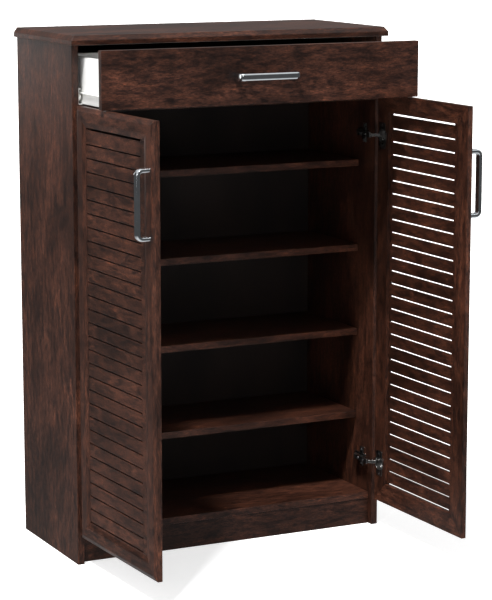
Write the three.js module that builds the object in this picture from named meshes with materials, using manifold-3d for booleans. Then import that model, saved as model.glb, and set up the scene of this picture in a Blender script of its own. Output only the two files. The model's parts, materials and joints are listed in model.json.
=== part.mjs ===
// Shoe cabinet: two louvred doors under one drawer, four shelves, side panels that run to the floor.
// Millimetres, +Z up, the front faces -Y. The origin is the centre of the plinth's underside.
// The rest pose has both doors swung open and the drawer pulled out.
import * as THREE from 'three';
import { mergeVertices } from 'three/addons/utils/BufferGeometryUtils.js';
import Module from 'manifold-3d';

const wasm = await Module();
wasm.setup();

// Driving dimensions -----------------------------------------------------------------------------
const HEIGHT = 1200;
const WIDTH = 780; // over the side panels
const DEPTH = 336; // of a side panel
const PANEL = 16; // board thickness
const GAP = 0.25; // between pieces that touch

const TOP = { thick: 22, sideOverhang: 7, frontOverhang: 19, backOverhang: 3, bevelWide: 8, bevelTall: 11 };
const PLINTH = { height: 62, setback: 17 };
const BOTTOM_SETBACK = 15;
const SHELF_TOPS = [881, 676, 471, 266];
const SHELF_SETBACK = 78;
const DIVIDER_TOP = 1045;
const BACK = { thick: 2.5, bottom: 62 };

const DOOR = {
  bottom: 67.5, top: 1046.5, stile: 48, topRail: 43, bottomRail: 47,
  gapToCarcass: 2, gapBetween: 2, edgeInset: 1, pivotInset: 1.75, mitreGap: 0.3,
};
const DOOR_OPEN_DEG = { left: 88, right: 91 };
// The louvres are slats one above another with level slots between them, set behind the frame's face.
const LOUVRE = {
  count: 29, pitch: 30.35, slot: 3.2, topSlot: 966.7, topEdge: 998, thick: 5, behindFace: 3,
  hingeMargin: 2, freeMargin: 18, tongue: 4.5, grooveDeep: 5,
};

const DRAWER = {
  frontBottom: 1048.5, frontTop: 1176, pulledOut: 150, side: 12, boxBottom: 1050, boxHeight: 100,
  length: 300, runnerGap: 13, floor: 4, floorLift: 10, grooveDeep: 5,
};
const RUNNER = { length: 300, start: 3, sheet: 1.25, flange: 10 };
const TRACK = { lipZ: 1072, channelLow: 1050.5, rollerGap: 0.5 };
const ROLLER = { radius: 8, wide: 5.5, bore: 2.5 };

const HANDLE = { wide: 17, deep: 11, square: 0.6, centres: 143, standoff: 32, bend: 10, segments: 12 };
const DOOR_HANDLE_Z = 872.5;
const DOOR_HANDLE_FROM_EDGE = 20;
const DRAWER_HANDLE_Z = 1110;

const HINGE_Z = [161, 948];
const CUP = { radius: 17.25, bore: 17.5, boreDeep: 12, wall: 1, centre: 22.5, flangeTall: 62, flangeWide: 26,
  flangeThick: 1.25 };
const ARM = { pivot: [354.2, -8.6], tall: 11, rear: 62, outer: 366, inner: 354 };
const PLATE = { from: 28, to: 78, tall: 46, thick: 4, wing: 14 };
const LINK = { length: 24.5, thick: 1.8, tall: 7, closedDeg: -1.1, ratio: -0.44 };

// Derived places ---------------------------------------------------------------------------------
const HALF = WIDTH / 2;
const INNER = HALF - PANEL; // inner face of a side panel
const UNDER_TOP = HEIGHT - TOP.thick;
const FRONT_Y = -(PLINTH.setback + PANEL / 2); // front plane of the side panels in the part's frame
const DOOR_FACE = -DOOR.gapToCarcass - PANEL; // outer face of a closed door
const PIVOT_X = HALF - DOOR.edgeInset - DOOR.pivotInset;
const PIVOT_Y = DOOR_FACE + DOOR.pivotInset;

// Materials --------------------------------------------------------------------------------------
const walnut = new THREE.MeshStandardMaterial({ color: 0x43292a, roughness: 0.42 });
const walnutDark = new THREE.MeshStandardMaterial({ color: 0x2c1c1b, roughness: 0.5 });
const melamine = new THREE.MeshStandardMaterial({ color: 0xf1f1ee, roughness: 0.5 });
const chrome = new THREE.MeshStandardMaterial({ color: 0xc9ccd0, roughness: 0.12, metalness: 1 });
const nickel = new THREE.MeshStandardMaterial({ color: 0x8d8f92, roughness: 0.3, metalness: 1 });
const runnerSteel = new THREE.MeshStandardMaterial({ color: 0xdcdcd8, roughness: 0.45, metalness: 0.1 });
const nylon = new THREE.MeshStandardMaterial({ color: 0xe6e6e2, roughness: 0.55 });

// Geometry helpers -------------------------------------------------------------------------------
const points = (list) => list.map(([a, b]) => new THREE.Vector2(a, b));

function add(parent, name, geometry, material) {
  const mesh = new THREE.Mesh(geometry, material);
  mesh.name = name;
  parent.add(mesh);
  return mesh;
}

function block([x0, x1], [y0, y1], [z0, z1]) {
  const geometry = new THREE.BoxGeometry(x1 - x0, y1 - y0, z1 - z0);
  return geometry.translate((x0 + x1) / 2, (y0 + y1) / 2, (z0 + z1) / 2);
}

function extrude(outline, depth) {
  const shape = outline instanceof THREE.Shape ? outline : new THREE.Shape(points(outline));
  return new THREE.ExtrudeGeometry(shape, { depth, bevelEnabled: false, curveSegments: 12 });
}

// An outline of (x, z) points made depth thick along +Y, from y0.
const alongY = (outline, y0, depth) => extrude(outline, depth).rotateX(Math.PI / 2).translate(0, y0 + depth, 0);

// An outline of (y, z) points made depth thick along +X, from x0.
const alongX = (outline, x0, depth) =>
  extrude(outline, depth).rotateX(Math.PI / 2).rotateZ(Math.PI / 2).translate(x0, 0, 0);

// An outline of (x, y) points made depth thick along +Z, from z0.
const alongZ = (outline, z0, depth) => extrude(outline, depth).translate(0, 0, z0);

const mirrorX = (outline, side) => outline.map(([x, y]) => [side * x, y]);

function toSolid(geometry) {
  const bare = geometry.clone();
  bare.deleteAttribute('normal');
  bare.deleteAttribute('uv');
  const merged = mergeVertices(bare, 1e-4);
  return new wasm.Manifold(new wasm.Mesh({
    numProp: 3,
    vertProperties: new Float32Array(merged.attributes.position.array),
    triVerts: new Uint32Array(merged.index.array),
  }));
}

function toGeometry(solid) {
  const mesh = solid.getMesh();
  const geometry = new THREE.BufferGeometry();
  geometry.setAttribute('position', new THREE.BufferAttribute(new Float32Array(mesh.vertProperties), 3));
  geometry.setIndex(new THREE.BufferAttribute(new Uint32Array(mesh.triVerts), 1));
  geometry.computeVertexNormals();
  return geometry;
}

const join = (geometries) =>
  toGeometry(geometries.map(toSolid).reduce((whole, piece) => whole.add(piece)));
const cut = (geometry, tools) =>
  toGeometry(tools.map(toSolid).reduce((whole, tool) => whole.subtract(tool), toSolid(geometry)));
const common = (first, second) => toGeometry(toSolid(first).intersect(toSolid(second)));

// Carcass ----------------------------------------------------------------------------------------
// The top board is bevelled along its front and both ends, where the bevels meet in mitres.
function topBoard() {
  const x = HALF + TOP.sideOverhang;
  const y0 = -TOP.frontOverhang;
  const y1 = DEPTH + TOP.backOverhang;
  const z0 = UNDER_TOP;
  const shoulder = HEIGHT - TOP.bevelTall;
  const inset = TOP.bevelWide;
  const lengthwise = alongX(
    [[y0, z0], [y1, z0], [y1, HEIGHT], [y0 + inset, HEIGHT], [y0, shoulder]], -x, 2 * x);
  const crosswise = alongY(
    [[-x, z0], [x, z0], [x, shoulder], [x - inset, HEIGHT], [inset - x, HEIGHT], [-x, shoulder]], y0, y1 - y0);
  return common(lengthwise, crosswise);
}

function carcass(parent) {
  const inside = [-INNER + GAP, INNER - GAP];
  add(parent, 'top_board', topBoard(), walnut);
  add(parent, 'side_panel_left', block([-HALF, -INNER], [0, DEPTH], [0, UNDER_TOP - GAP]), walnut);
  add(parent, 'side_panel_right', block([INNER, HALF], [0, DEPTH], [0, UNDER_TOP - GAP]), walnut);
  add(parent, 'plinth', block(inside, [PLINTH.setback, PLINTH.setback + PANEL], [0, PLINTH.height]), walnut);
  const bottomZ = PLINTH.height + GAP;
  add(parent, 'bottom_board', block(inside, [BOTTOM_SETBACK, DEPTH - GAP], [bottomZ, bottomZ + PANEL]), walnut);
  add(parent, 'drawer_divider',
    block(inside, [0, DEPTH - GAP], [DIVIDER_TOP - PANEL, DIVIDER_TOP]), walnutDark);
  const backY = DEPTH + GAP;
  add(parent, 'back_panel',
    block([1 - HALF, HALF - 1], [backY, backY + BACK.thick], [BACK.bottom, UNDER_TOP - GAP]), walnutDark);
  SHELF_TOPS.forEach((top, index) => {
    add(parent, `shelf_${index + 1}`, block(inside, [SHELF_SETBACK, DEPTH - 1], [top - PANEL, top]), walnut);
  });
}

// Handle -----------------------------------------------------------------------------------------
// A flattened bar bent square at both ends: its feet stand on y = 0 and it reaches out to -standoff.
function handleGeometry() {
  const reach = HANDLE.standoff - HANDLE.deep / 2;
  const half = HANDLE.centres / 2;
  const path = new THREE.CurvePath();
  const at = (x, y) => new THREE.Vector3(x, y, 0);
  const bend = (from, corner, to) => new THREE.QuadraticBezierCurve3(at(...from), at(...corner), at(...to));
  path.add(new THREE.LineCurve3(at(-half, 0), at(-half, HANDLE.bend - reach)));
  path.add(bend([-half, HANDLE.bend - reach], [-half, -reach], [HANDLE.bend - half, -reach]));
  path.add(new THREE.LineCurve3(at(HANDLE.bend - half, -reach), at(half - HANDLE.bend, -reach)));
  path.add(bend([half - HANDLE.bend, -reach], [half, -reach], [half, HANDLE.bend - reach]));
  path.add(new THREE.LineCurve3(at(half, HANDLE.bend - reach), at(half, 0)));
  const section = new THREE.Shape(points(Array.from({ length: HANDLE.segments }, (_, i) => {
    const turn = (2 * Math.PI * (i + 0.5)) / HANDLE.segments;
    const out = (size, share) => (size / 2) * Math.sign(share) * Math.abs(share) ** HANDLE.square;
    return [out(HANDLE.wide, Math.cos(turn)), out(HANDLE.deep, Math.sin(turn))];
  })));
  return new THREE.ExtrudeGeometry(section, { steps: 40, bevelEnabled: false, extrudePath: path });
}

// Door -------------------------------------------------------------------------------------------
// A door is drawn closed. x runs from the cabinet's middle to its side, and side is -1 or +1.
function frameMembers(x0, x1) {
  const { bottom, top, stile, topRail, bottomRail } = DOOR;
  const c = DOOR.mitreGap / 2;
  const inX0 = x0 + stile;
  const inX1 = x1 - stile;
  const inTop = top - topRail;
  const inBottom = bottom + bottomRail;
  return {
    rail_top: [[x0 + 2 * c, top], [x1 - 2 * c, top], [inX1 - c, inTop], [inX0 + c, inTop]],
    rail_bottom: [[x0 + 2 * c, bottom], [inX0 + c, inBottom], [inX1 - c, inBottom], [x1 - 2 * c, bottom]],
    stile_inner: [[x0, bottom + 2 * c], [inX0, inBottom + c], [inX0, inTop - c], [x0, top - 2 * c]],
    stile_hinge: [[x1, bottom + 2 * c], [inX1, inBottom + c], [inX1, inTop - c], [x1, top - 2 * c]],
  };
}

// The slats are joined at both ends to strips, whose tongues sit in grooves in the stiles. free and
// hinge are the x of the slats' ends, and the strips run on from them by their own widths.
function louvreInsert(free, hinge, y0, side) {
  const y = [y0, y0 + LOUVRE.thick];
  const zLow = DOOR.bottom + DOOR.bottomRail + 0.8;
  const zHigh = DOOR.top - DOOR.topRail - 0.8;
  const across = (a, b) => (side > 0 ? [a, b] : [-b, -a]);
  const overlap = 1;
  const parts = [
    block(across(free - LOUVRE.freeMargin - LOUVRE.tongue, free), y, [zLow, zHigh]),
    block(across(hinge, hinge + LOUVRE.hingeMargin + LOUVRE.tongue), y, [zLow, zHigh]),
  ];
  for (let i = 0; i < LOUVRE.count; i += 1) {
    const top = i === 0 ? LOUVRE.topEdge : LOUVRE.topSlot - (i - 1) * LOUVRE.pitch - LOUVRE.slot / 2;
    const bottom = LOUVRE.topSlot - i * LOUVRE.pitch + LOUVRE.slot / 2;
    parts.push(block(across(free - overlap, hinge + overlap), y, [bottom, top]));
  }
  return join(parts);
}

function cupGeometry() {
  const { radius, wall, boreDeep, flangeTall, flangeWide, flangeThick } = CUP;
  const deep = boreDeep - 0.5;
  const pot = new THREE.LatheGeometry(points([[0, 0], [radius, 0], [radius, deep + 0.4],
    [radius - wall, deep + 0.4], [radius - wall, wall], [0, wall]]), 28).translate(0, -deep, 0);
  const outline = new THREE.Shape();
  const half = { x: flangeWide / 2, z: flangeTall / 2 };
  const round = 6;
  outline.moveTo(-half.x + round, -half.z);
  outline.lineTo(half.x - round, -half.z);
  outline.absarc(half.x - round, -half.z + round, round, -Math.PI / 2, 0, false);
  outline.lineTo(half.x, half.z - round);
  outline.absarc(half.x - round, half.z - round, round, 0, Math.PI / 2, false);
  outline.lineTo(-half.x + round, half.z);
  outline.absarc(-half.x + round, half.z - round, round, Math.PI / 2, Math.PI, false);
  outline.lineTo(-half.x, -half.z + round);
  outline.absarc(-half.x + round, -half.z + round, round, Math.PI, 1.5 * Math.PI, false);
  const rim = new THREE.CylinderGeometry(radius + 1.5, radius + 1.5, flangeThick, 32)
    .translate(0, flangeThick / 2, 0);
  const plate = alongY(outline, 0, flangeThick);
  const opening = new THREE.CylinderGeometry(radius - wall, radius - wall, 4, 28);
  const flange = toSolid(plate).add(toSolid(rim)).subtract(toSolid(opening));
  return toGeometry(flange.add(toSolid(pot)));
}

// Hinge hardware that stays on the side panel: a cross-shaped mounting plate and the arm on it.
function hingeArmOutline() {
  const [px, py] = ARM.pivot;
  return [[px - 1.8, py - 2], [px + 0.5, py - 2.7], [px + 3, py - 1], [px + 5, 4], [ARM.outer, 14],
    [ARM.outer, ARM.rear], [ARM.inner + 4, ARM.rear], [ARM.inner, ARM.rear - 10], [ARM.inner, 12], [px - 2, 2]];
}

function plateOutline() {
  const { from, to, tall, wing } = PLATE;
  const middle = (from + to) / 2 - 8;
  const [near, far] = [middle - wing / 2, middle + wing / 2];
  const body = ARM.tall / 2 + 2;
  return [[from, -body], [near, -body], [near, -tall / 2], [far, -tall / 2], [far, -body], [to, -body],
    [to, body], [far, body], [far, tall / 2], [near, tall / 2], [near, body], [from, body]];
}

function linkGeometry() {
  const eye = 2.6;
  const bar = LINK.thick / 2;
  const outline = new THREE.Shape();
  outline.moveTo(eye + 1, -bar);
  outline.lineTo(LINK.length - bar, -bar);
  outline.absarc(LINK.length - bar, 0, bar, -Math.PI / 2, Math.PI / 2, false);
  outline.lineTo(eye + 1, bar);
  return alongZ(outline, -LINK.tall / 2, LINK.tall);
}

function hinge(parent, sideName, side, index, openDeg) {
  const z = HINGE_Z[index];
  const label = `${sideName}_${index === 0 ? 'lower' : 'upper'}`;
  const armSolid = alongZ(mirrorX(hingeArmOutline(), side), z - ARM.tall / 2, ARM.tall);
  add(parent, `hinge_arm_${label}`, armSolid, nickel);
  const plate = alongX(plateOutline().map(([y, dz]) => [y, z + dz]),
    side > 0 ? INNER - GAP - PLATE.thick : -INNER + GAP, PLATE.thick);
  add(parent, `hinge_plate_${label}`, plate, nickel);
  const link = add(parent, `hinge_link_${label}`, linkGeometry(), nickel);
  link.position.set(side * ARM.pivot[0], ARM.pivot[1], z);
  const turn = LINK.closedDeg + LINK.ratio * openDeg;
  link.rotation.z = THREE.MathUtils.degToRad(side > 0 ? turn : 180 - turn);
}

function door(parent, sideName, side) {
  const openDeg = DOOR_OPEN_DEG[sideName];
  const swing = new THREE.Group();
  swing.position.set(side * PIVOT_X, PIVOT_Y, 0);
  swing.rotation.z = THREE.MathUtils.degToRad(side * openDeg);
  parent.add(swing);

  // Everything below is placed from the pivot, with the door closed.
  const near = DOOR.gapBetween / 2 - PIVOT_X;
  const far = HALF - DOOR.edgeInset - PIVOT_X;
  const outerY = DOOR_FACE - PIVOT_Y;
  const innerY = outerY + PANEL;
  const louvreY = outerY + LOUVRE.behindFace;
  const cupX = far - CUP.centre;
  const cupPlaces = HINGE_Z.map((z) => [side * cupX, innerY, z]);

  const grooveY = [louvreY - GAP, louvreY + LOUVRE.thick + GAP];
  const grooveZ = [DOOR.bottom + DOOR.bottomRail + 0.4, DOOR.top - DOOR.topRail - 0.4];
  const spanX = (a, b) => (side > 0 ? [a, b] : [-b, -a]);
  const inX = [near + DOOR.stile, far - DOOR.stile];
  const grooves = {
    stile_inner: block(spanX(inX[0] - LOUVRE.grooveDeep, inX[0] + 1), grooveY, grooveZ),
    stile_hinge: block(spanX(inX[1] - 1, inX[1] + LOUVRE.grooveDeep), grooveY, grooveZ),
  };
  const bores = cupPlaces.map(([x, y, z]) =>
    new THREE.CylinderGeometry(CUP.bore, CUP.bore, CUP.boreDeep + 1, 32)
      .translate(x, y + (1 - CUP.boreDeep) / 2, z));

  for (const [member, outline] of Object.entries(frameMembers(near, far))) {
    const board = alongY(mirrorX(outline, side), outerY, PANEL);
    const tools = grooves[member] ? [grooves[member]] : [];
    if (member === 'stile_hinge') tools.push(...bores);
    add(swing, `door_${sideName}_${member}`, tools.length ? cut(board, tools) : board, walnut);
  }

  add(swing, `door_${sideName}_louvres`,
    louvreInsert(inX[0] + LOUVRE.freeMargin, inX[1] - LOUVRE.hingeMargin, louvreY, side), walnut);

  cupPlaces.forEach(([x, y, z], index) => {
    const cup = add(swing, `hinge_cup_${sideName}_${index === 0 ? 'lower' : 'upper'}`, cupGeometry(), nickel);
    cup.position.set(x, y + GAP, z);
  });

  const handle = add(swing, `handle_${sideName}`, handleGeometry(), chrome);
  handle.rotation.y = Math.PI / 2;
  handle.position.set(side * (near + DOOR_HANDLE_FROM_EDGE), outerY - GAP, DOOR_HANDLE_Z);

  HINGE_Z.forEach((_, index) => hinge(parent, sideName, side, index, openDeg));
}

// Drawer -----------------------------------------------------------------------------------------
function drawer(parent) {
  const box = new THREE.Group();
  box.position.y = -DRAWER.pulledOut;
  parent.add(box);
  const { frontBottom, frontTop, side, boxBottom, boxHeight, length, floor, floorLift, grooveDeep } = DRAWER;
  const outer = INNER - DRAWER.runnerGap;
  const inner = outer - side;
  const innerY = DOOR_FACE + PANEL;
  const boxTop = boxBottom + boxHeight;
  const y0 = innerY + GAP;
  const grooveZ = [boxBottom + floorLift - GAP, boxBottom + floorLift + floor + GAP];

  add(box, 'drawer_front', block([-HALF, HALF], [DOOR_FACE, innerY], [frontBottom, frontTop]), walnut);
  for (const [name, s] of [['left', -1], ['right', 1]]) {
    const groove = inner + grooveDeep;
    const section = [[outer, boxBottom], [outer, boxTop], [inner, boxTop], [inner, grooveZ[1]],
      [groove, grooveZ[1]], [groove, grooveZ[0]], [inner, grooveZ[0]], [inner, boxBottom]];
    add(box, `drawer_side_${name}`, alongY(mirrorX(section, s), y0, length), melamine);
    drawerRunner(box, name, s, outer, boxBottom);
    cabinetRunner(parent, name, s);
  }
  const floorX = inner + grooveDeep - GAP;
  add(box, 'drawer_bottom',
    block([-floorX, floorX], [y0, y0 + length], [grooveZ[0] + GAP, grooveZ[1] - GAP]), melamine);
  add(box, 'drawer_back',
    block([GAP - inner, inner - GAP], [y0 + length - side, y0 + length], [grooveZ[1], boxTop]), melamine);

  const handle = add(box, 'handle_drawer', handleGeometry(), chrome);
  handle.position.set(0, DOOR_FACE - GAP, DRAWER_HANDLE_Z);
}

// Roller runners: the drawer's member is an angle under the side with a lip that rides on the front
// roller, and the cabinet's member is a channel that the rear roller runs in.
function drawerRunner(parent, name, s, outer, boxBottom) {
  const { sheet, flange, length } = RUNNER;
  const web = outer + 0.5;
  const section = [[web - flange, boxBottom - GAP - sheet], [web + sheet, boxBottom - GAP - sheet],
    [web + sheet, TRACK.lipZ], [web + sheet + 6, TRACK.lipZ], [web + sheet + 6, TRACK.lipZ + sheet],
    [web, TRACK.lipZ + sheet], [web, boxBottom - GAP], [web - flange, boxBottom - GAP]];
  const y0 = DOOR_FACE + PANEL + 1;
  add(parent, `runner_drawer_${name}`, alongY(mirrorX(section, s), y0, length), runnerSteel);
  roller(parent, `roller_rear_${name}`, s * (web + sheet + GAP), s,
    DOOR_FACE + PANEL + length - ROLLER.radius - 2, TRACK.lipZ - TRACK.rollerGap - ROLLER.radius);
}

function cabinetRunner(parent, name, s) {
  const { sheet, length, start, flange } = RUNNER;
  const wall = INNER - GAP;
  const low = TRACK.channelLow;
  const top = TRACK.lipZ + 10;
  const section = [[wall, low - 3], [wall, top], [wall - 5, top], [wall - 5, top - sheet],
    [wall - sheet, top - sheet], [wall - sheet, low - 3 + sheet], [wall - flange, low - 3 + sheet],
    [wall - flange, low - 3]];
  add(parent, `runner_cabinet_${name}`, alongY(mirrorX(section, s), start, length), runnerSteel);
  roller(parent, `roller_front_${name}`, s * (wall - sheet - GAP - ROLLER.wide), s,
    start + ROLLER.radius + 2, TRACK.lipZ - TRACK.rollerGap - ROLLER.radius);
}

function roller(parent, name, x, s, y, z) {
  const { radius, wide, bore } = ROLLER;
  const wheel = new THREE.LatheGeometry(
    points([[bore, 0], [radius, 0], [radius, wide], [bore, wide], [bore, 0]]), 20);
  wheel.rotateZ(-Math.PI / 2);
  if (s < 0) wheel.translate(-wide, 0, 0);
  const mesh = add(parent, name, wheel, nylon);
  mesh.position.set(x, y, z);
}

// Assembly ---------------------------------------------------------------------------------------
const group = new THREE.Group();
group.name = 'shoe_cabinet';
const cabinet = new THREE.Group();
cabinet.position.y = FRONT_Y;
group.add(cabinet);
carcass(cabinet);
door(cabinet, 'left', -1);
door(cabinet, 'right', 1);
drawer(cabinet);

export default group;
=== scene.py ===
"""Shoe cabinet in dark walnut laminate: louvred doors, a drawer and open shelves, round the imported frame."""
import json
import math

import bmesh
import bpy
from mathutils import Euler, Matrix, Vector


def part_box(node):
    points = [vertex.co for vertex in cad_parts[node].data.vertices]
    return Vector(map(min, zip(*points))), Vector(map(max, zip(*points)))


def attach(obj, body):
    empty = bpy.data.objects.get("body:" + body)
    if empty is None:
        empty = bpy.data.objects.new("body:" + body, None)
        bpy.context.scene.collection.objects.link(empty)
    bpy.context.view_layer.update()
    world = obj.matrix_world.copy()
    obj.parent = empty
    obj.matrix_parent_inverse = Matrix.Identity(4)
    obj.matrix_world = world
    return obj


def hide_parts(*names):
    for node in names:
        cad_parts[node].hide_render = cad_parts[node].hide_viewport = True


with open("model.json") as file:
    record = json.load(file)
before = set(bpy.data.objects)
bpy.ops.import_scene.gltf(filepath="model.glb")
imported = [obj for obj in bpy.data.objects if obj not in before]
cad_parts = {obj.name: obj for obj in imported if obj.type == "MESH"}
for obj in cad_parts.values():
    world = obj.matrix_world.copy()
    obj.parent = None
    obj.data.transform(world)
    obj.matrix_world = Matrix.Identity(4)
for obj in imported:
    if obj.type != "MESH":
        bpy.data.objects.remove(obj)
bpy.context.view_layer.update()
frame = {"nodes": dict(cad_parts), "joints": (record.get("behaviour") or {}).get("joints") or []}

MM = 0.001
UP = Vector((0, 0, 1))
SIDES = {"left": -1, "right": 1}
LEVELS = ("lower", "upper")
scene = bpy.context.scene


# ---------------------------------------------------------------- node helpers
class Nodes:
    """A material's node tree, with short calls that make a node and return the socket that matters."""

    def __init__(self, name):
        self.material = bpy.data.materials.new(name)
        self.material.use_nodes = True
        self.tree = self.material.node_tree
        self.shader = self.tree.nodes["Principled BSDF"]

    def new(self, kind, **values):
        node = self.tree.nodes.new(kind)
        for key, value in values.items():
            setattr(node, key, value)
        return node

    def link(self, source, target):
        self.tree.links.new(source, target)

    def feed(self, value, socket):
        """Links a socket, or sets a plain number or colour."""
        if isinstance(value, bpy.types.NodeSocket):
            self.link(value, socket)
        else:
            socket.default_value = value

    def set(self, **values):
        for key, value in values.items():
            self.feed(value, self.shader.inputs[key.replace("_", " ")])

    def place(self, varied=True):
        """Object coordinates, moved on by an amount of its own for each piece."""
        coords = self.new("ShaderNodeTexCoord").outputs["Object"]
        if not varied:
            return coords
        random = self.new("ShaderNodeObjectInfo").outputs["Random"]
        return self.vector("ADD", coords, self.vector("SCALE", (13.7, 7.9, 5.3), scale=random))

    def vector(self, operation, a, b=None, scale=None):
        node = self.new("ShaderNodeVectorMath", operation=operation)
        self.feed(a, node.inputs[0])
        if b is not None:
            self.feed(b, node.inputs[1])
        if scale is not None:
            self.feed(scale, node.inputs["Scale"])
        return node.outputs[0]

    def math(self, operation, a, b=0.0):
        node = self.new("ShaderNodeMath", operation=operation)
        self.feed(a, node.inputs[0])
        self.feed(b, node.inputs[1])
        return node.outputs[0]

    def noise(self, place, stretch, detail=3.0, roughness=0.55, distortion=0.0):
        node = self.new("ShaderNodeTexNoise")
        self.link(self.vector("MULTIPLY", place, stretch), node.inputs["Vector"])
        node.inputs["Scale"].default_value = 1.0
        node.inputs["Detail"].default_value = detail
        node.inputs["Roughness"].default_value = roughness
        node.inputs["Distortion"].default_value = distortion
        return node.outputs["Fac"]

    def spread(self, value, low, high, to_low=0.0, to_high=1.0, smooth=False):
        node = self.new("ShaderNodeMapRange", interpolation_type="SMOOTHSTEP" if smooth else "LINEAR")
        self.feed(value, node.inputs["Value"])
        for name, number in (("From Min", low), ("From Max", high), ("To Min", to_low), ("To Max", to_high)):
            node.inputs[name].default_value = number
        return node.outputs["Result"]

    def mix(self, factor, a, b, blend="MIX"):
        node = self.new("ShaderNodeMix", data_type="RGBA", blend_type=blend)
        self.feed(factor, node.inputs["Factor"])
        self.feed(a, node.inputs[6])
        self.feed(b, node.inputs[7])
        return node.outputs[2]

    def bump(self, height, strength, distance):
        node = self.new("ShaderNodeBump")
        node.inputs["Strength"].default_value = strength
        node.inputs["Distance"].default_value = distance
        self.link(height, node.inputs["Height"])
        self.link(node.outputs["Normal"], self.shader.inputs["Normal"])


def rgb(r, g, b):
    return (r, g, b, 1.0)


WHITE = rgb(1.0, 1.0, 1.0)


# ---------------------------------------------------------------- materials
def along(axis, across, lengthwise):
    """A stretch with one value along the grain's axis and another across it."""
    return tuple(lengthwise if letter == axis else across for letter in "XYZ")


WALNUT_DARK = rgb(0.0135, 0.0054, 0.0038)
WALNUT_BROWN = rgb(0.057, 0.0196, 0.0108)
WALNUT_RED = rgb(0.155, 0.045, 0.0195)


def walnut(name, axis):
    """Dark walnut laminate: near black with reddish-brown mottling and short flecks along the grain."""
    n = Nodes(name)
    place = n.place()
    broad = n.noise(place, along(axis, 9.0, 4.0), detail=3, distortion=0.4)
    mottle = n.noise(place, along(axis, 95.0, 24.0), detail=8, roughness=0.75, distortion=0.15)
    flecks = n.noise(place, along(axis, 520.0, 120.0), detail=4, roughness=0.7)
    pores = n.noise(place, along(axis, 1100.0, 90.0), detail=2, roughness=0.5)
    colour = n.mix(n.spread(mottle, 0.36, 0.62, smooth=True), WALNUT_DARK, WALNUT_BROWN)
    colour = n.mix(n.spread(mottle, 0.56, 0.78, 0.0, 0.75, smooth=True), colour, WALNUT_RED)
    colour = n.mix(1.0, colour, n.spread(broad, 0.36, 0.64, 0.55, 1.4), "MULTIPLY")
    colour = n.mix(1.0, colour, n.spread(flecks, 0.36, 0.64, 0.42, 1.6), "MULTIPLY")
    colour = n.mix(1.0, colour, n.spread(pores, 0.34, 0.46, 0.7, 1.0), "MULTIPLY")
    n.set(Base_Color=colour, Roughness=n.spread(flecks, 0.3, 0.7, 0.42, 0.32), Specular_IOR_Level=0.32)
    n.bump(n.math("ADD", n.math("MULTIPLY", pores, 0.6), flecks), 0.1, 0.0003)
    return n.material


def back_board():
    """Brown hardboard with a fine, even grain of fibres."""
    n = Nodes("hardboard_brown")
    place = n.place()
    fibres = n.noise(place, (420.0, 420.0, 420.0), detail=4, roughness=0.7)
    clouds = n.noise(place, (9.0, 9.0, 4.0), detail=3)
    colour = n.mix(n.spread(clouds, 0.35, 0.68), rgb(0.013, 0.0075, 0.006), rgb(0.026, 0.014, 0.0105))
    colour = n.mix(1.0, colour, n.spread(fibres, 0.3, 0.7, 0.75, 1.25), "MULTIPLY")
    n.set(Base_Color=colour, Roughness=n.spread(fibres, 0.3, 0.7, 0.62, 0.5))
    n.bump(fibres, 0.2, 0.0003)
    return n.material


def melamine():
    """White melamine facing with a faint pearl texture."""
    n = Nodes("white_melamine")
    place = n.place()
    pearl = n.noise(place, (320.0, 320.0, 320.0), detail=3, roughness=0.6)
    haze = n.noise(place, (6.0, 3.0, 6.0), detail=2)
    colour = n.mix(n.spread(haze, 0.35, 0.65), rgb(0.80, 0.80, 0.785), rgb(0.86, 0.86, 0.85))
    n.set(Base_Color=colour, Roughness=n.spread(pearl, 0.3, 0.7, 0.38, 0.5))
    n.bump(pearl, 0.08, 0.0002)
    return n.material


def metal(name, colour, rough):
    """A plated metal, slightly darker and duller where it is smeared."""
    wear = 0.08
    n = Nodes(name)
    place = n.place()
    grains = n.noise(place, (500.0, 500.0, 500.0), detail=3, roughness=0.6)
    smears = n.noise(place, (60.0, 60.0, 60.0), detail=3)
    darker = rgb(*(c * (1.0 - wear) for c in colour))
    n.set(Base_Color=n.mix(n.spread(smears, 0.35, 0.65), darker, rgb(*colour)),
          Metallic=1.0, Roughness=n.spread(smears, 0.3, 0.7, rough * 0.75, rough * 1.3))
    n.bump(grains, 0.04, 0.0001)
    return n.material


def coated_steel():
    """White epoxy coating with a slight orange peel."""
    n = Nodes("epoxy_white_steel")
    place = n.place()
    peel = n.noise(place, (700.0, 700.0, 700.0), detail=2)
    haze = n.noise(place, (25.0, 8.0, 25.0), detail=3)
    n.set(Base_Color=n.mix(n.spread(haze, 0.35, 0.65), rgb(0.74, 0.74, 0.71), rgb(0.82, 0.82, 0.80)),
          Roughness=n.spread(haze, 0.3, 0.7, 0.3, 0.42))
    n.bump(peel, 0.1, 0.0002)
    return n.material


def nylon():
    """Off-white moulded nylon."""
    n = Nodes("nylon_natural")
    place = n.place()
    haze = n.noise(place, (180.0, 180.0, 180.0), detail=3)
    n.set(Base_Color=n.mix(n.spread(haze, 0.35, 0.65), rgb(0.72, 0.71, 0.67), rgb(0.80, 0.79, 0.76)),
          Roughness=n.spread(haze, 0.3, 0.7, 0.4, 0.55))
    n.bump(haze, 0.06, 0.0002)
    return n.material


WALNUT = {axis: walnut(f"walnut_laminate_{axis.lower()}", axis) for axis in "XYZ"}
HARDBOARD = back_board()
MELAMINE = melamine()
CHROME = metal("polished_chrome", (0.80, 0.84, 0.88), 0.06)
# The hinge nickel's base colour is darkened far below bright plating: painted shade standing in for the dark
# cabinet interior where the hinges sit.
NICKEL_PAINTED_DARK = metal("nickel_steel_painted_shade", (0.26, 0.255, 0.25), 0.28)
BLACKENED = metal("dark_zinc_screw", (0.30, 0.30, 0.31), 0.3)
RUNNER_STEEL = coated_steel()
NYLON = nylon()


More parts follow.
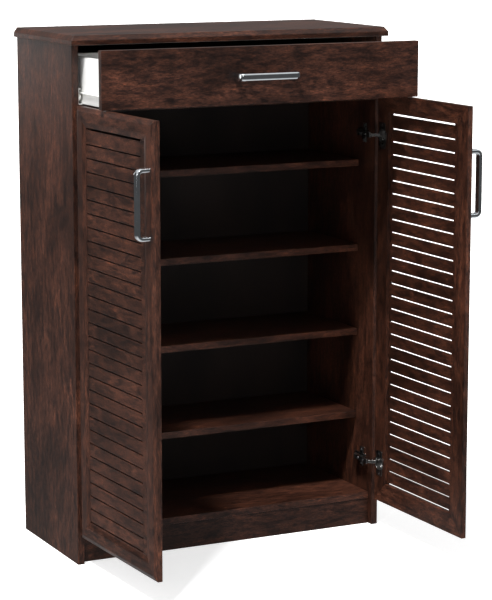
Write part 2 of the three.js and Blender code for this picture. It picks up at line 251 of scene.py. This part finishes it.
# ---------------------------------------------------------------- mesh helpers
def finish_piece(name, bm, body, material, nodes=(), angle=38.0):
    """Makes the piece from a bmesh, smooths it, gives it its material and lets it ride."""
    bmesh.ops.recalc_face_normals(bm, faces=bm.faces)
    mesh = bpy.data.meshes.new(name)
    bm.to_mesh(mesh)
    bm.free()
    mesh.polygons.foreach_set("use_smooth", [True] * len(mesh.polygons))
    mesh.set_sharp_from_angle(angle=math.radians(angle))
    mesh.materials.append(material)
    piece = bpy.data.objects.new(name, mesh)
    scene.collection.objects.link(piece)
    weighted = piece.modifiers.new("weighted", "WEIGHTED_NORMAL")
    weighted.keep_sharp = True
    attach(piece, body)
    if nodes:
        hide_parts(*nodes)
    return piece


def node_bmesh(node):
    """A CAD node's mesh with its vertices joined and its flat faces whole again."""
    bm = bmesh.new()
    bm.from_mesh(frame["nodes"][node].data)
    bmesh.ops.remove_doubles(bm, verts=bm.verts, dist=1e-6)
    bmesh.ops.dissolve_limit(bm, angle_limit=math.radians(0.5), verts=bm.verts, edges=bm.edges)
    return bm


def soften(bm, width, segments=2, angle=25.0):
    """Rounds every edge sharper than angle."""
    limit = math.radians(angle)
    sharp = [e for e in bm.edges if len(e.link_faces) == 2 and e.calc_face_angle(0.0) > limit]
    bmesh.ops.bevel(bm, geom=sharp, offset=width, segments=segments, profile=0.5, affect="EDGES",
                    clamp_overlap=True)
    return bm


def softened(node, body, material, width=0.8 * MM, segments=2, angle=25.0):
    """Stands a copy with eased edges in the node's place."""
    bm = soften(node_bmesh(node), width, segments, angle)
    finish_piece(f"{node}_eased", bm, body, material, [node])


def prism(bm, outline, depth_vector):
    """A closed prism: the outline's points as a face, carried along depth_vector."""
    low = [bm.verts.new(p) for p in outline]
    high = [bm.verts.new(Vector(p) + depth_vector) for p in outline]
    bm.faces.new(low)
    bm.faces.new(list(reversed(high)))
    for i in range(len(low)):
        j = (i + 1) % len(low)
        bm.faces.new((low[j], low[i], high[i], high[j]))


def arc(cx, cy, radius, start_deg, end_deg, steps):
    """Points on an arc, both ends included."""
    turns = (math.radians(start_deg + (end_deg - start_deg) * i / steps) for i in range(steps + 1))
    return [(cx + radius * math.cos(t), cy + radius * math.sin(t)) for t in turns]


def basis(direction):
    """A matrix that turns +Z to the direction."""
    return Vector(direction).to_track_quat("Z", "Y").to_matrix().to_4x4()


def ring_of(bm, turn, radius, z, sides):
    """A ring of vertices at the height z, in the frame that turn gives."""
    angles = [2 * math.pi * i / sides for i in range(sides)]
    return [bm.verts.new(turn @ Vector((radius * math.cos(t), radius * math.sin(t), z))) for t in angles]


def screw_head(bm, at, direction, radius=3.4 * MM, tall=1.1 * MM):
    """A domed head with a cross slot, standing on the point and facing the direction."""
    sides, sunk = 24, 0.3 * MM
    turn = Matrix.Translation(at) @ basis(direction)
    dome = [(radius * 0.55, tall * 0.94), (radius * 0.85, tall * 0.62)]
    profile = [*dome, (radius, tall * 0.12), (radius, -sunk)]
    rings = [ring_of(bm, turn, r, z, sides) for r, z in profile]
    for inner, outer in zip(rings, rings[1:]):
        for i in range(sides):
            j = (i + 1) % sides
            bm.faces.new((inner[i], outer[i], outer[j], inner[j]))
    bm.faces.new(rings[-1][::-1])
    # The cross is a twelve-cornered recess in the middle of the dome, narrower at its floor.
    arm, half, deep, taper = radius * 0.341, radius * 0.13, 0.55 * tall, 0.7
    quarter = [(half, half), (half, arm), (-half, arm)]
    corners = []
    for _ in range(4):
        corners += quarter
        quarter = [(-y, x) for x, y in quarter]
    mouth = [bm.verts.new(turn @ Vector((x, y, tall * 0.97))) for x, y in corners]
    floor = [bm.verts.new(turn @ Vector((x * taper, y * taper, tall - deep))) for x, y in corners]
    count = len(corners)
    for i in range(count):
        j = (i + 1) % count
        bm.faces.new((mouth[i], mouth[j], floor[j], floor[i]))
    bm.faces.new(floor)
    loop_edges = [bm.edges.get((mouth[i], mouth[(i + 1) % count])) for i in range(count)]
    top_ring = [bm.edges.get((rings[0][i], rings[0][(i + 1) % sides])) for i in range(sides)]
    bmesh.ops.bridge_loops(bm, edges=loop_edges + top_ring)


def rod(bm, start, end, radius, sides, chamfer=0.0):
    """A closed round bar between two points, its ends chamfered if a chamfer is given."""
    start, end = Vector(start), Vector(end)
    length = (end - start).length
    turn = Matrix.Translation(start) @ basis(end - start)
    stations = [(radius, chamfer), (radius, length - chamfer)]
    if chamfer:
        stations = [(radius - chamfer, 0.0), *stations, (radius - chamfer, length)]
    rings = [ring_of(bm, turn, r, z, sides) for r, z in stations]
    for a, b in zip(rings, rings[1:]):
        for i in range(sides):
            j = (i + 1) % sides
            bm.faces.new((a[i], a[j], b[j], b[i]))
    bm.faces.new(rings[0][::-1])
    bm.faces.new(rings[-1])


# ---------------------------------------------------------------- camera, stage and light
CAMERA_AT = (-2.2509, -4.653, 1.5015)
CAMERA_DOWN_DEG, CAMERA_RIGHT_DEG = 10.132, 26.293
CAMERA_LENS, CAMERA_SENSOR, CAMERA_REACH = 136.03, 36.0, 500.0
FLOOR_REACH, FLOOR_DROP, FLOOR_GLOW = 120.0, 0.4 * MM, 0.62


def studio_camera():
    data = bpy.data.cameras.new("camera")
    data.lens = CAMERA_LENS
    data.sensor_width = CAMERA_SENSOR
    data.clip_end = CAMERA_REACH
    camera = bpy.data.objects.new("camera", data)
    camera.location = CAMERA_AT
    turn = (math.radians(90 - CAMERA_DOWN_DEG), 0.0, math.radians(-CAMERA_RIGHT_DEG))
    camera.rotation_euler = Euler(turn, "XYZ")
    scene.collection.objects.link(camera)
    scene.camera = camera


def stage_floor():
    """A pale floor that glows a little to the camera only and isn't seen in reflections."""
    n = Nodes("pale_floor")
    soft = n.noise(n.place(varied=False), (1.5, 1.5, 1.5), detail=3)
    n.set(Base_Color=n.mix(n.spread(soft, 0.3, 0.7), rgb(0.86, 0.86, 0.86), rgb(0.88, 0.88, 0.88)),
          Roughness=0.75, Emission_Color=WHITE)
    seen = n.new("ShaderNodeLightPath").outputs["Is Camera Ray"]
    n.set(Emission_Strength=n.math("MULTIPLY", seen, FLOOR_GLOW))
    bm = bmesh.new()
    corners = ((-1, -1), (1, -1), (1, 1), (-1, 1))
    bm.faces.new([bm.verts.new((x * FLOOR_REACH, y * FLOOR_REACH, -FLOOR_DROP)) for x, y in corners])
    mesh = bpy.data.meshes.new("floor")
    bm.to_mesh(mesh)
    bm.free()
    mesh.materials.append(n.material)
    floor = bpy.data.objects.new("floor", mesh)
    scene.collection.objects.link(floor)
    floor.visible_glossy = False


SUN_TOWARDS, SUN_STRENGTH, SUN_ANGLE_DEG = Vector((-1.0, -1.0, 2.5)), 4.6, 7.0
SKY = {"From Min": 0.2, "From Max": 0.6, "To Min": 0.07, "To Max": 0.75}
# name, where it stands, what it faces, diameter, power
AREA_LIGHTS = (
    ("fill", (-4.5, -1.0, 1.6), (0.0, 0.0, 0.7), 2.5, 22.0),
    ("front", (-3.2, -5.0, 1.9), (0.0, 0.0, 0.8), 1.2, 12.0),
    ("rim", (-0.75, 4.0, 1.1), (-0.4, 0.0, 0.8), 0.9, 8.0),
)


def area_light(name, at, target, size, power):
    data = bpy.data.lights.new(name, "AREA")
    data.shape = "DISK"
    data.size = size
    data.energy = power
    lamp = bpy.data.objects.new(name, data)
    lamp.location = at
    lamp.rotation_euler = (Vector(target) - Vector(at)).to_track_quat("-Z", "Y").to_euler()
    scene.collection.objects.link(lamp)


def sky():
    """Dim near the horizon, brighter above and below it, and plain white where the camera sees it."""
    world = bpy.data.worlds.new("studio")
    world.use_nodes = True
    tree = world.node_tree
    background = tree.nodes["Background"]
    background.inputs["Color"].default_value = WHITE
    direction = tree.nodes.new("ShaderNodeSeparateXYZ")
    tree.links.new(tree.nodes.new("ShaderNodeTexCoord").outputs["Generated"], direction.inputs[0])
    steepness = tree.nodes.new("ShaderNodeMath")
    steepness.operation = "ABSOLUTE"
    tree.links.new(direction.outputs["Z"], steepness.inputs[0])
    glow = tree.nodes.new("ShaderNodeMapRange")
    for name, number in SKY.items():
        glow.inputs[name].default_value = number
    tree.links.new(steepness.outputs[0], glow.inputs["Value"])
    seen = tree.nodes.new("ShaderNodeLightPath").outputs["Is Camera Ray"]
    strength = tree.nodes.new("ShaderNodeMath")
    strength.operation = "MAXIMUM"
    tree.links.new(seen, strength.inputs[0])
    tree.links.new(glow.outputs["Result"], strength.inputs[1])
    tree.links.new(strength.outputs[0], background.inputs["Strength"])
    scene.world = world


def lighting():
    sky()
    data = bpy.data.lights.new("key", "SUN")
    data.energy = SUN_STRENGTH
    data.angle = math.radians(SUN_ANGLE_DEG)
    lamp = bpy.data.objects.new("key", data)
    lamp.rotation_euler = SUN_TOWARDS.to_track_quat("Z", "Y").to_euler()
    scene.collection.objects.link(lamp)
    for light in AREA_LIGHTS:
        area_light(*light)
    scene.view_settings.view_transform = "Standard"


studio_camera()
stage_floor()
lighting()


# ---------------------------------------------------------------- carcass
SHELVES = ("shelf_1", "shelf_2", "shelf_3", "shelf_4")


def carcass():
    softened("top_board", "carcass", WALNUT["X"], 1.6 * MM, 3, 20.0)
    for side in SIDES:
        softened(f"side_panel_{side}", "carcass", WALNUT["Z"], 0.9 * MM, 2)
    for node in ("plinth", "bottom_board", *SHELVES, "drawer_divider"):
        softened(node, "carcass", WALNUT["X"], 0.8 * MM, 2)
    softened("back_panel", "carcass", HARDBOARD, 0.3 * MM, 1)
    back_nails()


def back_nails():
    """Flat nail heads round the back panel's edge and along each shelf.

    They end just short of the top board's rear edge.
    """
    low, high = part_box("back_panel")
    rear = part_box("top_board")[1].y
    columns, rows, inset = 7, 9, 7 * MM
    radius, sides, chamfer, sunk, shy = 2.6 * MM, 16, 0.1 * MM, 0.3 * MM, 0.02 * MM
    xs = [low.x + inset + (high.x - low.x - 2 * inset) * i / (columns - 1) for i in range(columns)]
    zs = [low.z + inset + (high.z - low.z - 2 * inset) * i / (rows - 1) for i in range(rows)]
    places = [(x, z) for x in (xs[0], xs[-1]) for z in zs]
    places += [(x, z) for x in xs[1:-1] for z in (zs[0], zs[-1])]
    for i in range(1, len(SHELVES) + 1):
        bottom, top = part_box(f"shelf_{i}")
        places += [(x, (bottom.z + top.z) / 2) for x in xs[1:-1:2]]
    bm = bmesh.new()
    for x, z in places:
        rod(bm, (x, high.y - sunk, z), (x, rear - shy, z), radius, sides, chamfer)
    finish_piece("back_nails", bm, "carcass", BLACKENED)


# ---------------------------------------------------------------- doors
class Door:
    """One door's own frame, where it is closed and its pivot is the origin, and its place at rest."""

    def __init__(self, side):
        self.side = side
        self.sign = SIDES[side]
        self.body = f"door_{side}"
        joint = next(j for j in frame["joints"] if j["name"] == f"door_{side}_swing")
        pivot = Vector(joint["pos_m"])
        pivot.z = 0.0
        open_deg = self.sign * joint["range_deg"][1]
        self.to_world = Matrix.Translation(pivot) @ Matrix.Rotation(math.radians(open_deg), 4, "Z")
        self.to_local = self.to_world.inverted()

    def extent(self, node):
        """(low, high) of a node in this door's frame."""
        points = self.points(node)
        return [min(p[i] for p in points) for i in range(3)], [max(p[i] for p in points) for i in range(3)]

    def points(self, node):
        return [self.to_local @ v.co for v in frame["nodes"][node].data.vertices]

    def turn(self, direction):
        """A direction of the door's frame, as it points in the scene."""
        return self.to_world.to_3x3() @ Vector(direction)

    def place(self, bm):
        bmesh.ops.transform(bm, matrix=self.to_world, verts=bm.verts)


def member_profile(width, outer_y, inner_y):
    """(distance from the door's edge, y) round a frame member: sloped edge, flat face, shallow slope in."""
    edge_wide, edge_deep = 10.0 * MM, 4.0 * MM
    slope_wide, slope_deep, ease = 13.0 * MM, 2.8 * MM, 0.6 * MM
    slope_from, slope_y = width - slope_wide, outer_y + slope_deep
    points = [
        (0.0, outer_y + edge_deep + 0.8 * MM),
        (0.6 * MM, outer_y + edge_deep),
        (edge_wide - 1.5 * MM, outer_y + 0.3 * MM),
        (edge_wide + 0.8 * MM, outer_y),
        (slope_from - 1.0 * MM, outer_y),
        (slope_from + 0.6 * MM, outer_y + 0.2 * MM),
        (width - 1.6 * MM, slope_y - 0.25 * MM),
        (width - 0.6 * MM, slope_y + 0.1 * MM),
        (width, slope_y + 0.8 * MM),
    ]
    points += arc(width - ease, inner_y - ease, ease, 0, 90, 2)
    points += arc(ease * 1.5, inner_y - ease * 1.5, ease * 1.5, 90, 180, 3)
    return points


def door_member(door, member, upright, edge, inward, ends, widths, faces_y):
    """A stile or rail. Its profile starts at the door's edge, grows inward and runs from mitre to mitre.

    edge is the outer edge's coordinate, ends the two coordinates between which the member runs, and widths
    its own width and those of the members that cross it at either end.
    """
    mitre_gap = 0.2 * MM
    own_width, cross_low, cross_high = widths
    profile = member_profile(own_width, *faces_y)
    bm = bmesh.new()
    rings = [[], []]
    for distance, y in profile:
        share = distance / own_width
        across = edge + inward * distance
        first = ends[0] + share * cross_low + mitre_gap
        last = ends[1] - share * cross_high - mitre_gap
        for ring, run in zip(rings, (first, last)):
            ring.append(bm.verts.new((across, y, run) if upright else (run, y, across)))
    bm.faces.new(rings[0])
    bm.faces.new(rings[1][::-1])
    for i in range(len(profile)):
        j = (i + 1) % len(profile)
        bm.faces.new((rings[0][j], rings[0][i], rings[1][i], rings[1][j]))
    door.place(bm)
    grain = WALNUT["Z"] if upright else WALNUT["Y"]
    name = f"door_{door.side}_{member}"
    return finish_piece(f"{name}_moulded", bm, door.body, grain, [name], 28.0)


def cut_bores(piece, door):
    """Bores the cups' holes in the hinge stile."""
    radius, sides, spare_deep, spare_out = 17.5 * MM, 40, 0.3 * MM, 4 * MM
    cutter_bm = bmesh.new()
    for level in LEVELS:
        low, high = door.extent(f"hinge_cup_{door.side}_{level}")
        x, z = (low[0] + high[0]) / 2, (low[2] + high[2]) / 2
        rod(cutter_bm, (x, low[1] - spare_deep, z), (x, high[1] + spare_out, z), radius, sides)
    door.place(cutter_bm)
    bmesh.ops.recalc_face_normals(cutter_bm, faces=cutter_bm.faces)
    mesh = bpy.data.meshes.new("bores")
    cutter_bm.to_mesh(mesh)
    cutter_bm.free()
    cutter = bpy.data.objects.new("bores", mesh)
    scene.collection.objects.link(cutter)
    cut = piece.modifiers.new("bores", "BOOLEAN")
    cut.operation, cut.solver, cut.object = "DIFFERENCE", "EXACT", cutter
    piece.modifiers.move(len(piece.modifiers) - 1, 0)
    bpy.context.view_layer.update()
    shaped = bpy.data.meshes.new_from_object(piece.evaluated_get(bpy.context.evaluated_depsgraph_get()))
    piece.modifiers.remove(cut)
    piece.data = shaped
    bpy.data.objects.remove(cutter)


SAME_LEVEL = 1e-6


def slat_bands(door, node):
    """Each slat's (bottom, top), read from the levels of the CAD louvres' long horizontal edges."""
    low, high = door.extent(node)
    middle, reach = (low[0] + high[0]) / 2, 0.3 * (high[0] - low[0])
    points = door.points(node)
    levels = set()
    for edge in frame["nodes"][node].data.edges:
        p, q = (points[i] for i in edge.vertices)
        long_enough = min(p.x, q.x) < middle - reach and max(p.x, q.x) > middle + reach
        if long_enough and abs(p.z - q.z) < SAME_LEVEL:
            levels.add(round(p.z, 6))
    levels = sorted(levels)
    return list(zip(levels[::2], levels[1::2]))


def louvres(door):
    """Slats with eased edges between two upright strips that run into the stiles' grooves."""
    node = f"door_{door.side}_louvres"
    low, high = door.extent(node)
    bands = slat_bands(door, node)
    first_top = bands[0][1]
    slot_ends = [p.x for p in door.points(node) if abs(p.z - first_top) < 0.01 * MM]
    left, right = min(slot_ends), max(slot_ends)
    y0, y1 = low[1], high[1]
    ease, into_strip = 0.7 * MM, 2 * MM
    bm = bmesh.new()
    for z0, z1 in bands:
        back, front, top, bottom = y1 - ease, y0 + ease, z1 - ease, z0 + ease
        centres = ((back, top), (front, top), (front, bottom), (back, bottom))
        outline = []
        for quarter, (y, z) in enumerate(centres):
            outline += arc(y, z, ease, 90 * quarter, 90 * quarter + 90, 2)
        outline = [(left - into_strip, y, z) for y, z in outline]
        prism(bm, outline, Vector((right - left + 2 * into_strip, 0, 0)))
    for x0, x1 in ((low[0], left), (right, high[0])):
        outline = [(x0, y0, low[2]), (x1, y0, low[2]), (x1, y1, low[2]), (x0, y1, low[2])]
        prism(bm, outline, Vector((0, 0, high[2] - low[2])))
    door.place(bm)
    finish_piece(f"door_{door.side}_slats", bm, door.body, WALNUT["Y"], [node], 50.0)


def door_frame(door):
    """Two rails and two stiles, mitred at the corners, with the hinge stile bored for the cups."""
    members = ("rail_top", "rail_bottom", "stile_inner", "stile_hinge")
    boxes = {member: door.extent(f"door_{door.side}_{member}") for member in members}
    x_ends = (min(low[0] for low, _ in boxes.values()), max(high[0] for _, high in boxes.values()))
    z_ends = (boxes["rail_bottom"][0][2], boxes["rail_top"][1][2])
    faces_y = (boxes["rail_top"][0][1], boxes["rail_top"][1][1])

    def width(member, axis):
        low, high = boxes[member]
        return high[axis] - low[axis]

    stile = width("stile_inner", 0)
    rail_low, rail_high = width("rail_bottom", 2), width("rail_top", 2)
    left, right = ("stile_inner", "stile_hinge") if door.sign > 0 else ("stile_hinge", "stile_inner")
    stile_widths = (stile, rail_low, rail_high)
    top_widths, bottom_widths = (rail_high, stile, stile), (rail_low, stile, stile)
    door_member(door, "rail_top", False, z_ends[1], -1, x_ends, top_widths, faces_y)
    door_member(door, "rail_bottom", False, z_ends[0], 1, x_ends, bottom_widths, faces_y)
    stiles = {
        left: door_member(door, left, True, x_ends[0], 1, z_ends, stile_widths, faces_y),
        right: door_member(door, right, True, x_ends[1], -1, z_ends, stile_widths, faces_y),
    }
    cut_bores(stiles["stile_hinge"], door)


# ---------------------------------------------------------------- handles
BAR = {"reach": 26.5 * MM, "half": 71.5 * MM, "bend": 10.0 * MM, "bend_steps": 10, "leg": 10 * MM}
BAR_SECTION = {"deep": 5.38 * MM, "wide": 8.32 * MM, "power": 0.6, "sides": 28}


def bar_path():
    """(along the bar, out from the face) from one foot to the other."""
    reach, half, bend, leg = BAR["reach"], BAR["half"], BAR["bend"], BAR["leg"]
    turns = [math.radians(90 * i / BAR["bend_steps"]) for i in range(BAR["bend_steps"] + 1)]
    near = [(-half + bend - bend * math.cos(t), reach - bend + bend * math.sin(t)) for t in turns]
    far = [(half - bend + bend * math.sin(t), reach - bend + bend * math.cos(t)) for t in turns]
    return [(-half, 0.0), (-half, leg), *near, *far, (half, leg), (half, 0.0)]


def bar_section():
    """(in the bar's plane, square to it) round a flattened section with rounded corners."""
    def rounded(size, share):
        return math.copysign(size * abs(share) ** BAR_SECTION["power"], share)

    deep, wide, sides = BAR_SECTION["deep"], BAR_SECTION["wide"], BAR_SECTION["sides"]
    angles = (2 * math.pi * k / sides for k in range(sides))
    return [(rounded(deep, math.cos(t)), rounded(wide, math.sin(t))) for t in angles]


def handle(node, body, foot, out, run):
    """A bar bent at both ends. foot is the middle between its feet, out the way it stands, run along it."""
    path, section = bar_path(), bar_section()
    sides = len(section)
    normal = run.cross(out)
    bm = bmesh.new()
    rings = []
    for i, (a, b) in enumerate(path):
        before, after = path[max(i - 1, 0)], path[min(i + 1, len(path) - 1)]
        tangent = Vector((after[0] - before[0], after[1] - before[1])).normalized()
        across = run * -tangent.y + out * tangent.x
        centre = foot + run * a + out * b
        rings.append([bm.verts.new(centre + across * deep + normal * wide) for deep, wide in section])
    for first, second in zip(rings, rings[1:]):
        for k in range(sides):
            j = (k + 1) % sides
            bm.faces.new((first[k], first[j], second[j], second[k]))
    bm.faces.new(rings[0][::-1])
    bm.faces.new(rings[-1])
    finish_piece(f"{node}_bar", bm, body, CHROME, [node], 50.0)


def handles():
    low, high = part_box("handle_drawer")
    foot = Vector(((low.x + high.x) / 2, high.y, (low.z + high.z) / 2))
    handle("handle_drawer", "drawer", foot, Vector((0, -1, 0)), Vector((1, 0, 0)))
    for door in DOORS:
        node = f"handle_{door.side}"
        low, high = door.extent(node)
        foot = door.to_world @ Vector(((low[0] + high[0]) / 2, high[1], (low[2] + high[2]) / 2))
        handle(node, door.body, foot, door.turn((0, -1, 0)), UP)


# ---------------------------------------------------------------- hinges
ARM_SCREWS = ((20 * MM, 0.0), (46 * MM, 1.2 * MM))  # (distance back from the arm's front, how far it is sunk)
PLATE_SCREW = {"forward": 8 * MM, "apart": 17 * MM, "radius": 3.8 * MM, "tall": 1.4 * MM}
CUP_SCREW = {"apart": 24 * MM, "radius": 3.6 * MM, "tall": 0.9 * MM, "sunk": 0.05 * MM}


def arm_and_plate_screws(door, tag):
    """Two screws on the hinge arm's back and two in the plate's wings, all facing into the cabinet."""
    outward = door.sign
    inward = Vector((-outward, 0, 0))
    inner = 0 if outward > 0 else 1
    arm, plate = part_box(f"hinge_arm_{tag}"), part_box(f"hinge_plate_{tag}")
    middle_z = (arm[0].z + arm[1].z) / 2
    bm = bmesh.new()
    for back, sunk in ARM_SCREWS:
        screw_head(bm, Vector((arm[inner].x + outward * sunk, arm[0].y + back, middle_z)), inward)
    wing_y = (plate[0].y + plate[1].y) / 2 - PLATE_SCREW["forward"]
    for dz in (-PLATE_SCREW["apart"], PLATE_SCREW["apart"]):
        at = Vector((plate[inner].x, wing_y, middle_z + dz))
        screw_head(bm, at, inward, PLATE_SCREW["radius"], PLATE_SCREW["tall"])
    finish_piece(f"hinge_screws_{tag}", bm, "carcass", BLACKENED)


def cup_screws(door, tag):
    """The two screws that hold the cup's flange on the door."""
    low, high = door.extent(f"hinge_cup_{tag}")
    bm = bmesh.new()
    for dz in (-CUP_SCREW["apart"], CUP_SCREW["apart"]):
        local = Vector(((low[0] + high[0]) / 2, high[1] - CUP_SCREW["sunk"], (low[2] + high[2]) / 2 + dz))
        screw_head(bm, door.to_world @ local, door.turn((0, 1, 0)), CUP_SCREW["radius"], CUP_SCREW["tall"])
    finish_piece(f"cup_screws_{tag}", bm, door.body, BLACKENED)


def hinges(door):
    for level in LEVELS:
        tag = f"{door.side}_{level}"
        # Arm, plate, cup and link take the nickel colour darkened with painted shade for the dark interior.
        softened(f"hinge_arm_{tag}", "carcass", NICKEL_PAINTED_DARK, 0.9 * MM, 2)
        softened(f"hinge_plate_{tag}", "carcass", NICKEL_PAINTED_DARK, 0.6 * MM, 2)
        softened(f"hinge_cup_{tag}", door.body, NICKEL_PAINTED_DARK, 0.3 * MM, 1, 40.0)
        softened(f"hinge_link_{tag}", f"link_{tag}", NICKEL_PAINTED_DARK, 0.4 * MM, 1, 50.0)
        arm_and_plate_screws(door, tag)
        cup_screws(door, tag)


# ---------------------------------------------------------------- drawer
def drawer():
    softened("drawer_front", "drawer", WALNUT["X"], 1.1 * MM, 3)
    for side in SIDES:
        softened(f"drawer_side_{side}", "drawer", MELAMINE, 0.6 * MM, 2)
        softened(f"runner_drawer_{side}", "drawer", RUNNER_STEEL, 0.25 * MM, 1)
        softened(f"runner_cabinet_{side}", "carcass", RUNNER_STEEL, 0.25 * MM, 1)
        for place, body in (("front", f"roller_front_{side}"), ("rear", f"roller_rear_{side}")):
            softened(f"roller_{place}_{side}", body, NYLON, 0.6 * MM, 2)
    softened("drawer_bottom", "drawer", MELAMINE, 0.3 * MM, 1)
    softened("drawer_back", "drawer", MELAMINE, 0.6 * MM, 2)


carcass()
DOORS = [Door(side) for side in SIDES]
for each in DOORS:
    door_frame(each)
    louvres(each)
    hinges(each)
handles()
drawer()
